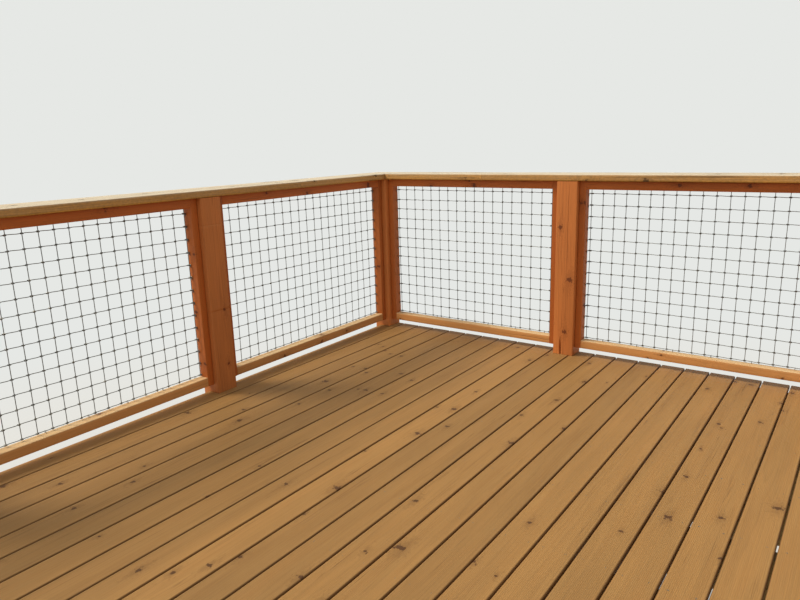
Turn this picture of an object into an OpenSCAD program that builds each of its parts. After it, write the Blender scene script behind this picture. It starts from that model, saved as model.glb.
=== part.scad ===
// Tree house terrace: a raised timber deck with a guard rail on three sides.
// The origin is on the ground under the middle of the outer box.
// X runs along the front rail, +Y points out over the front rail, +Z is up.
// The rear edge, at -Y, is open where the deck meets the cabin.

/* [Deck] */
// Height of the walking surface above the ground
deck_h = 2400; // [1500:10:3500]
// Width of one deck board
board_w = 140; // [90:1:180]
// Thickness of a deck board
board_t = 28; // [20:1:45]
// Smallest gap between two deck boards
board_gap_min = 4; // [3:0.5:8]
// How far the board ends stay inside the outer faces of the front posts
end_inset = 13; // [5:1:25]
// How far the outer boards stay inside the outer faces of the side posts
side_inset = 50; // [30:1:60]
// Gap round a post's tail where the boards are notched for it
notch_gap = 3; // [1:0.5:8]
// Small flat worked on the long edges of the boards
board_ease = 4; // [1:0.5:6]

/* [Guard posts] */
// Side of the square guard posts
post_w = 140; // [120:1:180]
// How far the posts stand past both faces of the panel frames
post_proud = 36; // [20:1:45]
// Thickness of the tail that laps the outside of the rim
tail_t = 60; // [40:1:80]
// Length of the tail below the walking surface
tail_l = 212; // [120:1:225]
// Small flat worked on the edges of the posts
post_ease = 4; // [1:0.5:10]
// Clear width of a bay of the front rail
front_bay = 1405; // [1200:5:1600]
// Clear width of a bay of a side rail
side_bay = 1612; // [1200:5:1800]

/* [Rail] */
// Height of the underside of the cap above the walking surface
rail_h = 1177; // [900:5:1300]
// Thickness of the cap boards
cap_t = 43; // [30:1:60]
// Width of the cap boards
cap_w = 286; // [200:1:300]
// How far the cap reaches past the inner faces of the posts
cap_lip = 8; // [2:1:20]
// Gap left between two cap boards
cap_gap = 1.5; // [1:0.5:4]
// Distance from the outer faces of the corner post to the joint in the front cap
front_joint = 987; // [600:1:1200]
// Distance from the outer faces of the corner post to the joint in a side cap
side_joint = 1071; // [600:1:1400]
// Small flat worked on the edges of the cap and the frames
rail_ease = 3; // [1:0.5:8]

/* [Panel frames] */
// Width of the upright frame pieces
stile_w = 44; // [35:1:90]
// Height of the top and bottom frame pieces
frame_t = 54; // [35:1:80]
// Gap between the deck and the bottom frame piece
floor_gap = 53; // [20:1:100]

/* [Netting] */
// Thickness of the netting wire
wire = 4; // [3:0.5:6]
// Spacing of the wires
wire_pitch = 75; // [60:1:100]
// Least distance from a frame upright to the middle of the nearest wire
wire_edge = 10; // [6:1:30]
// Height of the lowest level wire above the bottom frame piece
wire_lift = 10; // [0:1:40]
// How far the netting lies inside the outer face of the frames
wire_inset = 12; // [4:1:30]

/* [Substructure] */
// Thickness of the joists and rims
joist_t = 63; // [45:1:80]
// Depth of the joists and rims
joist_d = 200; // [160:1:240]
// Width of the bearers
bearer_w = 100; // [75:1:140]
// Depth of the bearers
bearer_d = 225; // [180:1:300]
// Distance of the outer bearers from the middle
bearer_off = 1700; // [1400:10:1900]
// Length of the slanting cut under each end of a bearer
bearer_cut = 180; // [50:5:200]
// Height left at the end of a bearer above its slanting cut
bearer_nose = 110; // [60:1:160]
// Side of the square stilts
stilt_w = 160; // [140:1:220]
// Thickness of the braces
brace_t = 80; // [50:1:100]
// Depth of the braces
brace_d = 100; // [70:1:130]
// Reach of the braces under the bearers
long_reach = 560; // [400:5:600]
// Reach of the braces under the joists
cross_reach = 700; // [500:5:720]

/* [Hidden] */

// Colours of the timbers and the wire
post_col = [0.80, 0.56, 0.36];
frame_col = [0.66, 0.36, 0.17];
cap_col = [0.74, 0.64, 0.46];
deck_col = [0.58, 0.44, 0.27];
under_col = [0.55, 0.46, 0.34];
wire_col = [0.62, 0.64, 0.64];

// Each rail has three bays between its posts
bays = 3;
front_pitch = front_bay + post_w;
side_pitch = side_bay + post_w;
// Outer size over the posts
out_w = bays * front_pitch + post_w;
out_l = bays * side_pitch + post_w;
// Overhang of the cap past the outer faces of the posts
cap_over = cap_w - post_w - cap_lip;
// Outer faces of the posts at the left, the front and the rear
x_left = -out_w / 2;
y_front = (out_l - cap_over) / 2;
y_rear = y_front - out_l;
// Panel frames stand in the middle of the posts
frame_d = post_w - 2 * post_proud;
open_h = rail_h - floor_gap - 2 * frame_t;
// Undersides of the boards, the joists and the bearers
board_z = deck_h - board_t;
joist_z = board_z - joist_d;
bearer_z = joist_z - bearer_d;
// Whole deck boards, with the gap evened out between them
boards_span = out_w - 2 * side_inset;
board_n = floor((boards_span + board_gap_min) / (board_w + board_gap_min));
board_pitch = (boards_span - board_w) / (board_n - 1);
// Boards in the left and right groups, with the rest in the middle one
board_group = floor(board_n / 3);
// Faces of the rims, which the tails of the posts lap
rim_left = x_left + tail_t;
rim_right = -rim_left;
rim_front = y_front - tail_t;
// Joists evenly spaced between the front and rear rims
joist_n = 11;
joist_pitch = (rim_front - y_rear - joist_t) / (joist_n + 1);
// Joists over the three rows of stilts, counted from the front rim
stilt_rows = [2, 6, 10];
bearers_x = [-bearer_off, 0, bearer_off];

// Section of a timber with its four edges eased, centred
module eased(a, b, e) {
    polygon([
        [e - a / 2, -b / 2], [a / 2 - e, -b / 2], [a / 2, e - b / 2], [a / 2, b / 2 - e],
        [a / 2 - e, b / 2], [e - a / 2, b / 2], [-a / 2, b / 2 - e], [-a / 2, e - b / 2]
    ]);
}

// Timbers along X, Y and Z: a corner, then the size along X, Y and Z
module bar_x(corner, size, e) {
    translate([corner.x, corner.y + size.y / 2, corner.z + size.z / 2])
        rotate([90, 0, 90])
            linear_extrude(size.x) eased(size.y, size.z, e);
}
module bar_y(corner, size, e) {
    translate([corner.x + size.x / 2, corner.y + size.y, corner.z + size.z / 2])
        rotate([90, 0, 0])
            linear_extrude(size.y) eased(size.x, size.z, e);
}
module bar_z(corner, size, e) {
    translate([corner.x + size.x / 2, corner.y + size.y / 2, corner.z])
        linear_extrude(size.z) eased(size.x, size.y, e);
}

// Places of the guard posts, as their front left corners
function front_post_at(k) = [x_left + k * front_pitch, y_front - post_w];
function side_post_at(k) = [x_left, y_front - post_w - k * side_pitch];

// The part of a post above the walking surface
module post_shaft(at) {
    bar_z([at.x, at.y, deck_h], [post_w, post_w, rail_h], post_ease);
}

// Tails that lap the outside of the front rim and of the left rim
module front_tail(at, grow = 0) {
    translate([at.x - grow, y_front - tail_t - grow, deck_h - tail_l])
        cube([post_w + 2 * grow, tail_t + grow, tail_l + grow]);
}
module side_tail(at, grow = 0) {
    translate([x_left - grow, at.y - grow, deck_h - tail_l])
        cube([tail_t + 2 * grow, post_w + 2 * grow, tail_l + grow]);
}

// A post of the front rail stands on the boards and laps the front rim
module front_post(k) {
    color(post_col) {
        post_shaft(front_post_at(k));
        front_tail(front_post_at(k));
    }
}

// A post of the left rail does the same at the side rim
module side_post(k) {
    color(post_col) {
        post_shaft(side_post_at(k));
        side_tail(side_post_at(k));
    }
}

// The corner post laps both rims with an L-shaped tail
module corner_post() {
    color(post_col) {
        post_shaft(side_post_at(0));
        side_tail(side_post_at(0));
        front_tail(front_post_at(0));
    }
}

// Frames a bay is seen in: X along the bay, Y outwards from the frame's inner face, Z up
module front_bay_at(k) {
    translate([x_left + post_w + k * front_pitch, y_front - post_proud - frame_d, deck_h])
        children();
}
module left_bay_at(k) {
    translate([
        x_left + post_proud + frame_d,
        y_front - post_w - side_bay - k * side_pitch,
        deck_h
    ])
        rotate([0, 0, 90])
            children();
}
module right_side() {
    mirror([1, 0, 0]) children();
}

// Both uprights of one frame
module stiles(bay) {
    color(frame_col)
        for (x = [0, bay - stile_w])
            bar_z([x, 0, floor_gap], [stile_w, frame_d, rail_h - floor_gap], rail_ease);
}

// A horizontal frame piece between the uprights
module frame_rail(bay, z) {
    color(frame_col)
        bar_x([stile_w, 0, z], [bay - 2 * stile_w, frame_d, frame_t], rail_ease);
}
module top_rail(bay) {
    frame_rail(bay, rail_h - frame_t);
}
module bottom_rail(bay) {
    frame_rail(bay, floor_gap);
}

// Square netting held in the opening, with the same distance to both uprights
module netting(bay) {
    open_w = bay - 2 * stile_w;
    squares = floor((open_w - 2 * wire_edge) / wire_pitch);
    first = (open_w - squares * wire_pitch) / 2;
    color(wire_col)
        translate([stile_w, frame_d - wire_inset, floor_gap + frame_t])
            rotate([90, 0, 0])
                linear_extrude(wire) {
                    for (k = [0 : squares])
                        translate([first + k * wire_pitch - wire / 2, 0])
                            square([wire, open_h]);
                    for (z = [wire_lift : wire_pitch : open_h - 2 * wire])
                        translate([0, z])
                            square([open_w, wire]);
                }
}

// Cap boards of the front rail, mitred into the side caps at both ends
module front_cap() {
    y_in = y_front - post_w - cap_lip;
    color(cap_col)
        difference() {
            bar_x(
                [x_left - cap_over, y_in, deck_h + rail_h],
                [out_w + 2 * cap_over, cap_w, cap_t],
                rail_ease
            );
            mitre_cut();
            right_side() mitre_cut();
            translate([x_left + front_joint, y_in - cap_w / 2, deck_h + rail_h - cap_t / 2])
                cube([cap_gap, 2 * cap_w, 2 * cap_t]);
        }
}

// Wedge to the left and rear of the mitre line at the left corner
module mitre_cut() {
    translate([x_left - cap_over, y_front + cap_over, deck_h + rail_h - cap_t / 2])
        rotate([0, 0, -45])
            translate([-cap_w, -3 * cap_w, 0])
                cube([5 * cap_w, 3 * cap_w, 2 * cap_t]);
}

// Cap boards of the left rail, from the mitre to the rear posts
module left_cap() {
    y_out = y_front + cap_over - cap_gap;
    color(cap_col)
        difference() {
            bar_y(
                [x_left - cap_over, y_rear, deck_h + rail_h],
                [cap_w, y_out - y_rear, cap_t],
                rail_ease
            );
            translate([x_left - cap_over, y_out, deck_h + rail_h - cap_t / 2])
                rotate([0, 0, -45])
                    translate([-cap_w, 0, 0])
                        cube([5 * cap_w, 3 * cap_w, 2 * cap_t]);
            translate([
                x_left - cap_over - cap_w / 2,
                y_front - side_joint - cap_gap,
                deck_h + rail_h - cap_t / 2
            ])
                cube([2 * cap_w, cap_gap, 2 * cap_t]);
        }
}

// Everything that the boards are notched for
module notches() {
    for (k = [0 : bays]) front_tail(front_post_at(k), notch_gap);
    for (k = [0 : bays]) {
        side_tail(side_post_at(k), notch_gap);
        right_side() side_tail(side_post_at(k), notch_gap);
    }
}

// Deck boards from number a to number b, counted from the left
module deck_boards(a, b) {
    color(deck_col)
        difference() {
            for (k = [a : b])
                bar_y(
                    [x_left + side_inset + k * board_pitch, y_rear, board_z],
                    [board_w, y_front - end_inset - y_rear, board_t],
                    board_ease
                );
            notches();
        }
}

// Rims close the deck's edges under the boards
module front_rim() {
    color(under_col)
        translate([rim_left, rim_front - joist_t, joist_z])
            cube([rim_right - rim_left, joist_t, joist_d]);
}
module rear_rim() {
    color(under_col)
        translate([rim_left, y_rear, joist_z])
            cube([rim_right - rim_left, joist_t, joist_d]);
}
module side_rims() {
    color(under_col)
        for (x = [rim_left, rim_right - joist_t])
            translate([x, y_rear + joist_t, joist_z])
                cube([joist_t, rim_front - y_rear - 2 * joist_t, joist_d]);
}

// Joists between the side rims
module joists() {
    color(under_col)
        for (k = [1 : joist_n])
            translate([rim_left + joist_t, joist_y(k) - joist_t / 2, joist_z])
                cube([rim_right - rim_left - 2 * joist_t, joist_t, joist_d]);
}
// Middle of joist k, counted from the front rim
function joist_y(k) = rim_front - joist_t / 2 - k * joist_pitch;

// Bearers under the joists, cut to a slant under both ends
module bearers() {
    l = rim_front - y_rear;
    color(under_col)
        for (x = bearers_x)
            translate([x - bearer_w / 2, y_rear, bearer_z])
                rotate([90, 0, 90])
                    linear_extrude(bearer_w)
                        polygon([
                            [bearer_cut, 0], [l - bearer_cut, 0],
                            [l, bearer_d - bearer_nose], [l, bearer_d],
                            [0, bearer_d], [0, bearer_d - bearer_nose]
                        ]);
}

// A row of stilts from the ground to the bearers
module stilts(row) {
    color(under_col)
        for (x = bearers_x)
            bar_z(
                [x - stilt_w / 2, joist_y(stilt_rows[row]) - stilt_w / 2, 0],
                [stilt_w, stilt_w, bearer_z],
                post_ease
            );
}

// Side view of a brace at 45 degrees in the corner between a stilt and a beam
module brace_side(reach) {
    s = brace_d * sqrt(2);
    polygon([[0, -reach], [reach, 0], [reach - s, 0], [0, s - reach]]);
}

// Braces from the stilts to the bearers, two at each stilt
module bearer_braces() {
    color(under_col)
        for (x = bearers_x, row = stilt_rows, side = [0, 1])
            translate([x, joist_y(row), bearer_z])
                mirror([0, side, 0])
                    translate([-brace_t / 2, stilt_w / 2, 0])
                        rotate([90, 0, 90])
                            linear_extrude(brace_t) brace_side(long_reach);
}

// Braces from the stilts to the joists above them, inwards and on both sides of the middle
module joist_braces() {
    color(under_col)
        for (row = stilt_rows, side = [0, 1], x = [0, -bearer_off])
            mirror([side, 0, 0])
                translate([x + stilt_w / 2, joist_y(row) + joist_t / 2, joist_z])
                    rotate([90, 0, 0])
                        linear_extrude(joist_t) brace_side(cross_reach);
}

corner_post();  // left_corner_post
right_side() corner_post();  // right_corner_post
front_post(1);  // left_front_post
right_side() front_post(1);  // right_front_post
side_post(1);  // left_post_near
side_post(2);  // left_post_mid
side_post(3);  // left_post_rear
right_side() side_post(1);  // right_post_near
right_side() side_post(2);  // right_post_mid
right_side() side_post(3);  // right_post_rear
front_bay_at(0) netting(front_bay);  // front_netting_left
front_bay_at(1) netting(front_bay);  // front_netting_mid
front_bay_at(2) netting(front_bay);  // front_netting_right
left_bay_at(0) netting(side_bay);  // left_netting_near
left_bay_at(1) netting(side_bay);  // left_netting_mid
left_bay_at(2) netting(side_bay);  // left_netting_rear
right_side() left_bay_at(0) netting(side_bay);  // right_netting_near
right_side() left_bay_at(1) netting(side_bay);  // right_netting_mid
right_side() left_bay_at(2) netting(side_bay);  // right_netting_rear
for (k = [0 : bays - 1]) front_bay_at(k) stiles(front_bay);  // front_stiles
for (k = [0 : bays - 1]) left_bay_at(k) stiles(side_bay);  // left_stiles
right_side() for (k = [0 : bays - 1]) left_bay_at(k) stiles(side_bay);  // right_stiles
for (k = [0 : bays - 1]) front_bay_at(k) top_rail(front_bay);  // front_top_rails
for (k = [0 : bays - 1]) left_bay_at(k) top_rail(side_bay);  // left_top_rails
right_side() for (k = [0 : bays - 1]) left_bay_at(k) top_rail(side_bay);  // right_top_rails
for (k = [0 : bays - 1]) front_bay_at(k) bottom_rail(front_bay);  // front_bottom_rails
for (k = [0 : bays - 1]) left_bay_at(k) bottom_rail(side_bay);  // left_bottom_rails
right_side() for (k = [0 : bays - 1]) left_bay_at(k) bottom_rail(side_bay);  // right_bottom_rails
front_cap();
left_cap();
right_side() left_cap();  // right_cap
deck_boards(0, board_group - 1);  // left_deck_boards
deck_boards(board_group, board_n - board_group - 1);  // middle_deck_boards
deck_boards(board_n - board_group, board_n - 1);  // right_deck_boards
front_rim();
rear_rim();
side_rims();
joists();
bearers();
stilts(0);  // front_stilts
stilts(1);  // middle_stilts
stilts(2);  // rear_stilts
bearer_braces();
joist_braces();
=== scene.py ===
# %% [markdown]
# # A tree house terrace
#
# The object is the raised terrace of a tree house: a board deck on stilts, with a guard rail on three
# sides. Square posts carry a flat cap, and between them sit timber frames filled with square wire netting.
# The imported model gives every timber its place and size. This script gives the timbers rounded edges, drying
# checks, grain and weathering, and it makes the netting, the staples, the screws and the bolts.

import bmesh
import bpy
import math
import numpy as np
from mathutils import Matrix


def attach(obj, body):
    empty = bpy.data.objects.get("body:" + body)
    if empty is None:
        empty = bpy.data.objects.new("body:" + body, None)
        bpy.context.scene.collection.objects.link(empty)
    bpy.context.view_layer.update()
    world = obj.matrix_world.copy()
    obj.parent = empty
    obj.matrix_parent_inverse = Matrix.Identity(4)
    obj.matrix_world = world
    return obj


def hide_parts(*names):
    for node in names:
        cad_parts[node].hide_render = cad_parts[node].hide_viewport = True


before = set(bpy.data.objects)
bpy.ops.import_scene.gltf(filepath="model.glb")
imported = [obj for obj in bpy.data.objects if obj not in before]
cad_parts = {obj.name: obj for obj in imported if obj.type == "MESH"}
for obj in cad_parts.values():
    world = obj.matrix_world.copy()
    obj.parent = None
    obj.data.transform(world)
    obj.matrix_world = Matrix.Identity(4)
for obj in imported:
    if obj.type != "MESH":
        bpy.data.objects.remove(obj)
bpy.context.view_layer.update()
rng = np.random.default_rng(41)


# %% [markdown]
# ## Colours
#
# A colour is easiest to choose on a screen and to write as a hex value. The shader counts light, not screen
# values, so one function turns each hex value into linear light.

# %% From hex to linear light
def linear(text):
    """Each channel c from 0 to 1 becomes c/12.92 below 0.04045, and ((c + 0.055)/1.055)**2.4 above it."""
    c = np.array([int(text[k : k + 2], 16) for k in (1, 3, 5)]) / 255
    low = c / 12.92
    high = ((c + 0.055) / 1.055) ** 2.4
    return (*np.where(c <= 0.04045, low, high).tolist(), 1.0)


# %% [markdown]
# ## Camera
#
# The picture is taken from a little above the rail, towards its front left corner. Place and turn were worked
# out beforehand from the straight edges of the rail. A camera can be aimed at a target by a constraint, but
# that gives it no roll. So the turn is kept as three angles: yaw to the left of the front, pitch below the
# horizon, and roll. Three axes are built from them.

# %% A new object in the scene
def placed(name, data):
    """An object at the origin that shows the data: a mesh, a lamp or a camera."""
    obj = bpy.data.objects.new(name, data)
    bpy.context.scene.collection.objects.link(obj)
    return obj


# %% Camera
LENS_PX = 666.0
IMAGE_W = 800
SENSOR = 36.0
EYE = np.array([0.8934, -1.7021, 3.8561])
YAW, PITCH, ROLL = np.radians([35.878, 13.342, 1.692])

ahead = np.array([-np.sin(YAW) * np.cos(PITCH), np.cos(YAW) * np.cos(PITCH), -np.sin(PITCH)])
level = np.array([np.cos(YAW), np.sin(YAW), 0.0])
down = np.cross(ahead, level)
right = np.cos(ROLL) * level + np.sin(ROLL) * down
up = np.sin(ROLL) * level - np.cos(ROLL) * down

camera = placed("camera", bpy.data.cameras.new("camera"))
camera.data.sensor_width = SENSOR
camera.data.lens = LENS_PX * SENSOR / IMAGE_W
camera.data.clip_start = 0.05
turn = np.eye(4)
turn[:3, 0], turn[:3, 1], turn[:3, 2], turn[:3, 3] = right, up, -ahead, EYE
camera.matrix_world = turn.T.tolist()
bpy.context.scene.camera = camera
bpy.context.scene.view_settings.view_transform = "Standard"
print("camera at", EYE, "lens", round(camera.data.lens, 2), "mm")


# %% [markdown]
# ## Materials by nodes
#
# A material is a small program of nodes. One function adds a node, sets its values and joins its inputs, so
# that each step of a pattern is one call. It gives back the node's output, ready to go into the next step.

# %% One function that adds a node
def add(tree, kind, inputs=(), out=0, **settings):
    """Adds one shader node. inputs is a tuple in the order of its sockets, or a dict by socket: another
    node's output is linked, any other value is set. settings are the node's own properties. out picks the
    output."""
    node = tree.nodes.new("ShaderNode" + kind)
    for key, value in settings.items():
        setattr(node, key, value)
    for key, value in inputs.items() if isinstance(inputs, dict) else enumerate(inputs):
        if isinstance(value, bpy.types.NodeSocket):
            tree.links.new(value, node.inputs[key])
        else:
            node.inputs[key].default_value = value
    return node.outputs[out]


# %% A new material with its shader
def new_material(name, **values):
    """A material with a Principled shader. Values that are the same all over go straight onto its sockets."""
    material = bpy.data.materials.new(name)
    material.use_nodes = True
    tree = material.node_tree
    tree.nodes.clear()
    shader = add(tree, "BsdfPrincipled", values)
    tree.links.new(shader, tree.nodes.new("ShaderNodeOutputMaterial").inputs["Surface"])
    return material, tree, shader.node.inputs


# %% [markdown]
# ## Studio
#
# A plain pale floor, a pale backdrop and soft light. The backdrop is the world's colour for camera and
# mirror rays only, so that a pale background doesn't light the timber more than the lamps do. Far out, the
# floor fades into the same colour, so no horizon is drawn behind the terrace, and near it the shadow stays.

# %% Backdrop
BACKDROP = linear("#e6e8e5")
SKY_LIGHT = 0.46


def background_rays(tree):
    """1 for a ray that meets the background straight from the camera or by way of a mirror, otherwise 0."""
    rays = add(tree, "LightPath").node.outputs
    return add(tree, "Math", (rays["Is Camera Ray"], rays["Is Glossy Ray"]), operation="MAXIMUM")


world = bpy.data.worlds.new("studio")
bpy.context.scene.world = world
world.use_nodes = True
tree = world.node_tree
tree.nodes.clear()
light = add(tree, "Background", {"Color": linear("#f2f4f6"), "Strength": SKY_LIGHT})
pale = add(tree, "Background", {"Color": BACKDROP, "Strength": 1.0})
mixed = add(tree, "MixShader", (background_rays(tree), light, pale))
tree.links.new(mixed, tree.nodes.new("ShaderNodeOutputWorld").inputs["Surface"])
print("sky light", SKY_LIGHT, "backdrop", [round(c, 2) for c in BACKDROP[:3]])

# %% Floor
FLOOR_HALF = 60.0
FADE_FROM, FADE_TO = 5.0, 14.0
floor_mesh = bpy.data.meshes.new("studio_floor")
floor_corners = [(x * FLOOR_HALF, y * FLOOR_HALF, 0) for x, y in ((-1, -1), (1, -1), (1, 1), (-1, 1))]
floor_mesh.from_pydata(floor_corners, [], [(0, 1, 2, 3)])
floor = placed("studio_floor", floor_mesh)
# Matt floor paint, which turns into the backdrop's own colour from FADE_FROM to FADE_TO
paint, tree, shader = new_material("matt_floor_paint", **{"Base Color": linear("#d9dad7"), "Roughness": 0.9})
place = add(tree, "TexCoord", out="Object")
far = add(tree, "VectorMath", (place,), out="Value", operation="LENGTH")
fade = add(tree, "MapRange", {0: far, 1: FADE_FROM, 2: FADE_TO}, interpolation_type="SMOOTHSTEP")
fade = add(tree, "Math", (fade, background_rays(tree)), operation="MULTIPLY")
glow = add(tree, "Emission", {"Color": BACKDROP, "Strength": 1.0})
mixed = add(tree, "MixShader", (fade, shader["Base Color"].node.outputs[0], glow))
tree.links.new(mixed, tree.nodes["Material Output"].inputs["Surface"])
floor_mesh.materials.append(paint)
print("floor fades from", FADE_FROM, "to", FADE_TO, "m out")


# %% Lamps
def lamp(name, energy, angle, azimuth, elevation, tint):
    """A soft sun. Its rays come from the azimuth, in degrees left of the front, and from the elevation above
    the floor. The angle is how wide it looks, and makes its shadows soft."""
    data = bpy.data.lights.new(name, "SUN")
    data.energy = energy
    data.angle = math.radians(angle)
    data.color = linear(tint)[:3]
    placed(name, data).rotation_euler = (math.radians(90 - elevation), 0, math.radians(180 + azimuth))
    print(f"{name}: {energy} W/m2, {elevation} degrees above the floor")


lamp("key", 2.7, 22, 120, 50, "#fff3e2")
lamp("fill", 0.4, 60, 200, 35, "#f4f8ff")


# %% [markdown]
# ## Where the timbers are
#
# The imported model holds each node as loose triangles. Corners at one place belong together, so the solids
# of a node can be told apart, and the box of each gives a timber's place and size. Nothing is measured twice:
# if a size changes in the model, the timber here follows it.

# %% Corners and boxes of a node's solids
def corners(node):
    """The node's corners, and which three of them each triangle joins."""
    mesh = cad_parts[node].data
    mesh.calc_loop_triangles()
    points = np.empty(len(mesh.vertices) * 3)
    mesh.vertices.foreach_get("co", points)
    joined = np.empty(len(mesh.loop_triangles) * 3, dtype=np.int32)
    mesh.loop_triangles.foreach_get("vertices", joined)
    points, place = np.unique(np.round(points.reshape(-1, 3), 5), axis=0, return_inverse=True)
    return points, place.ravel()[joined].reshape(-1, 3)


def solids(node):
    """Lowest and highest corner of each solid. Every corner starts with its own label, and the lowest label
    spreads over the triangles until each solid has one."""
    points, triangles = corners(node)
    label = np.arange(len(points))
    before = label + 1
    while not np.array_equal(before, label):
        before = label.copy()
        np.minimum.at(label, triangles.ravel(), np.repeat(label[triangles].min(axis=1), 3))
    boxes = [(points[label == k].min(0), points[label == k].max(0)) for k in np.unique(label)]
    return sorted(boxes, key=lambda box: tuple(np.round(box[0] + box[1], 3)))


DECK_TOP = solids("left_deck_boards")[0][1][2]
TAIL_T = solids("left_front_post")[0][1][1] - solids("front_rim")[0][1][1]
print("deck top at", round(DECK_TOP, 3), "tails", round(TAIL_T, 3), "thick")


# %% [markdown]
# ## A sawn timber
#
# A timber is a section carried along a straight line. The section is a rectangle with rounded corners. Real
# timbers also bow a little, their ends can be cut at a slant, and thick ones split open along the grain as
# they dry. So the grid of points gets a slow bow, slanted ends and V-shaped checks. Cutting the checks with a
# boolean would be slower and would leave ragged faces. Each point also keeps its place within the log, which
# the grain pattern needs later.

# %% Section of a timber
ALONG = np.array([[1, 0], [0, 1], [-1, 0], [0, -1]])
OUTWARD = np.array([[0, -1], [1, 0], [0, 1], [-1, 0]])


def outline(width, height, ease, places):
    """A rectangle with corners of radius ease, counter-clockwise from the lower left. places gives, for the
    bottom, right, top and left side, where more points lie from -1 to 1. Returns the points, with the side
    and the place of each."""
    half = np.array([width, height]) / 2 - ease
    sign = np.array([[-1, -1], [1, -1], [1, 1], [-1, 1]])
    points, side, spot = [], [], []
    for k in range(4):
        arc = np.radians(180 + 90 * k + np.array([0.0, 30.0, 60.0, 90.0]))
        t = np.array(sorted(places[k]), dtype=float)
        points.append(sign[k] * half + ease * np.stack([np.cos(arc), np.sin(arc)], 1))
        points.append(t[:, None] * ALONG[k] * half + OUTWARD[k] * (half + ease))
        side.append(np.repeat([-1, k], [4, len(t)]))
        spot.append(np.concatenate([np.zeros(4), t]))
    return np.concatenate(points), np.concatenate(side), np.concatenate(spot)


# %% Drying checks
CHECK_DEPTH = 0.012
HAIR = 0.0002


def split_open(a, b, s, side, spot, checks):
    """A check is (side, place, from, to, width, depth). At its place three columns of points lie together.
    With t from 0 to 1 along the check, the outer two part by width sin(pi t)**0.6, and the middle one sinks
    by depth times the same, so the check opens fast and stays open for most of its length. It wanders from a
    straight line by two sines, 2 mm and 1.2 mm high."""
    for k, place, low, high, width, depth in checks:
        opened = np.sin(np.pi * np.clip((s - low) / (high - low), 0, 1)) ** 0.6
        wander = 0.002 * np.sin(9 * s + 40 * low) + 0.0012 * np.sin(31 * s + 7 * high)
        columns = np.flatnonzero((side == k) & (np.abs(spot - place) < 1e-6))
        for column, lip in zip(columns, (-1, 0, 1)):
            move = wander + lip * (0.5 * width * opened + HAIR)
            sink = depth * opened * (lip == 0)
            a[:, column] += ALONG[k][0] * move - OUTWARD[k][0] * sink
            b[:, column] += ALONG[k][1] * move - OUTWARD[k][1] * sink


def random_checks(sides, low, high, count):
    """Drying checks at random places, each 12 to 55 per cent as long as the stretch it may lie in."""
    made = []
    for k in rng.choice(sides, count):
        long = rng.uniform(0.12, 0.55) * (high - low)
        at = rng.uniform(low, high - long)
        made.append((int(k), rng.uniform(-0.6, 0.6), at, at + long, rng.uniform(0.001, 0.0026), CHECK_DEPTH))
    return made


# %% Faces between neighbouring rings of points
def skin(rings, around, strips=1, closed=True):
    """Four-sided faces of strips that each have so many rings of so many points: point i of a ring is joined
    to point i + 1 and to the same two points of the next ring. In a closed ring, the last point's neighbour
    is the first."""
    i = np.arange(around if closed else around - 1)
    first = (np.arange(strips)[:, None] * rings + np.arange(rings - 1)).reshape(-1, 1) * around
    after = (i + 1) % around
    return np.stack([first + i, first + after, first + around + after, first + around + i], -1).reshape(-1, 4)


# %% Ends of a timber
def end_faces(section, count, level):
    """One face closes each end. Where the end changes its slant at the height level, two faces close it."""
    i = np.arange(len(section))
    if level is None:
        parts = [i]
    else:
        cut = np.flatnonzero(np.isclose(section[:, 1], level, atol=1e-5))
        parts = [np.arange(cut[0], cut[1] + 1), np.r_[cut[1] : len(section), 0 : cut[0] + 1]]
    last = (count - 1) * len(section)
    return [face[None] for part in parts for face in (part[::-1], part + last)]


# %% Timber as a grid of points
SAW_HALF = 0.0012
CLEAR_OF_CHECK = 0.2


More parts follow.
